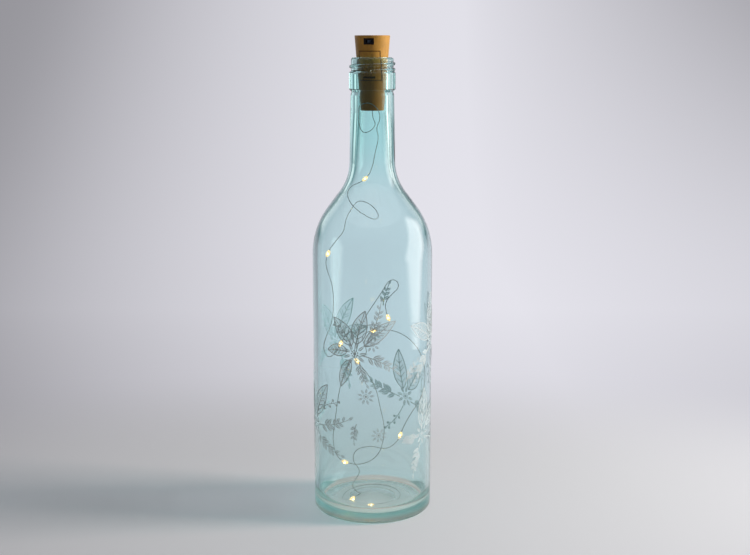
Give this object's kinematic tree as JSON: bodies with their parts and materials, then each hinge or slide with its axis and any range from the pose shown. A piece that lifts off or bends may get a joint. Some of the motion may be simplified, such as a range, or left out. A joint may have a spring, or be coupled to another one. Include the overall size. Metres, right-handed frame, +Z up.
{
  "type": "cork bottle light",
  "caption": "Clear aqua wine bottle lit from inside by a wire string of small warm lights that hangs from a cork-shaped battery light with a slide switch.",
  "frame": {"origin": "centre of the ring that the bottle stands on, at its lowest plane", "axes": "+Z up along the bottle's axis; the picture looks along +Y, with +X to its right"},
  "size_m": [0.076, 0.076, 0.3032],
  "materials": {
    "glass": "clear aqua glass",
    "string_wire": "thin silver-coloured wire",
    "light_bead": "clear resin bead lit from inside",
    "light_chip": "warm white light chip",
    "cork": "cork-coloured satin plastic",
    "plug": "darker cork-coloured plastic",
    "cell_steel": "nickel-plated steel",
    "cell_seal": "nylon seal",
    "contact_metal": "nickel-plated spring steel",
    "switch_black": "black nylon",
    "lever": "blue-grey plastic",
    "pin_metal": "tinned brass",
    "board": "green board",
    "resistor": "black ceramic",
    "lead_red": "red insulation",
    "lead_black": "black insulation"
  },
  "bodies": {
    "bottle": {"bottle_glass": "glass", "string_wire_neck": "string_wire", "string_wire": "string_wire", "led_bead_01": "light_bead", "led_bead_02": "light_bead", "led_bead_03": "light_bead", "led_bead_04": "light_bead", "led_bead_05": "light_bead", "led_bead_06": "light_bead", "led_bead_07": "light_bead", "led_bead_08": "light_bead", "led_bead_09": "light_bead", "led_bead_10": "light_bead", "led_chip_01": "light_chip", "led_chip_02": "light_chip", "led_chip_03": "light_chip", "led_chip_04": "light_chip", "led_chip_05": "light_chip", "led_chip_06": "light_chip", "led_chip_07": "light_chip", "led_chip_08": "light_chip", "led_chip_09": "light_chip", "led_chip_10": "light_chip"},
    "cork_light": {"cork_housing": "cork", "cork_top_cap": "cork", "battery_door": "cork", "bottom_plug": "plug", "cell_1_can": "cell_steel", "cell_1_seal": "cell_seal", "cell_1_cap": "cell_steel", "cell_2_can": "cell_steel", "cell_2_seal": "cell_seal", "cell_2_cap": "cell_steel", "cell_3_can": "cell_steel", "cell_3_seal": "cell_seal", "cell_3_cap": "cell_steel", "contact_plate": "contact_metal", "spring_plate": "contact_metal", "contact_spring": "contact_metal", "switch_bezel": "switch_black", "switch_base": "switch_black", "switch_pins": "pin_metal", "circuit_board": "board", "resistor": "resistor", "string_tail": "string_wire", "lead_positive": "lead_red", "lead_return": "lead_black", "lead_spring": "lead_black"},
    "switch_lever": {"switch_slider": "lever", "switch_wiper": "pin_metal"}
  },
  "joints": [
    {"name": "cork_pull", "type": "slide", "parent": "bottle", "child": "cork_light", "axis": [0, 0, 1], "range_m": [0, 0.06], "deforming": ["string_wire_neck"]},
    {"name": "switch_slide", "type": "slide", "parent": "cork_light", "child": "switch_lever", "axis": [0.9781, -0.2079, 0], "range_m": [-0.0012, 0.0012]}
  ]
}
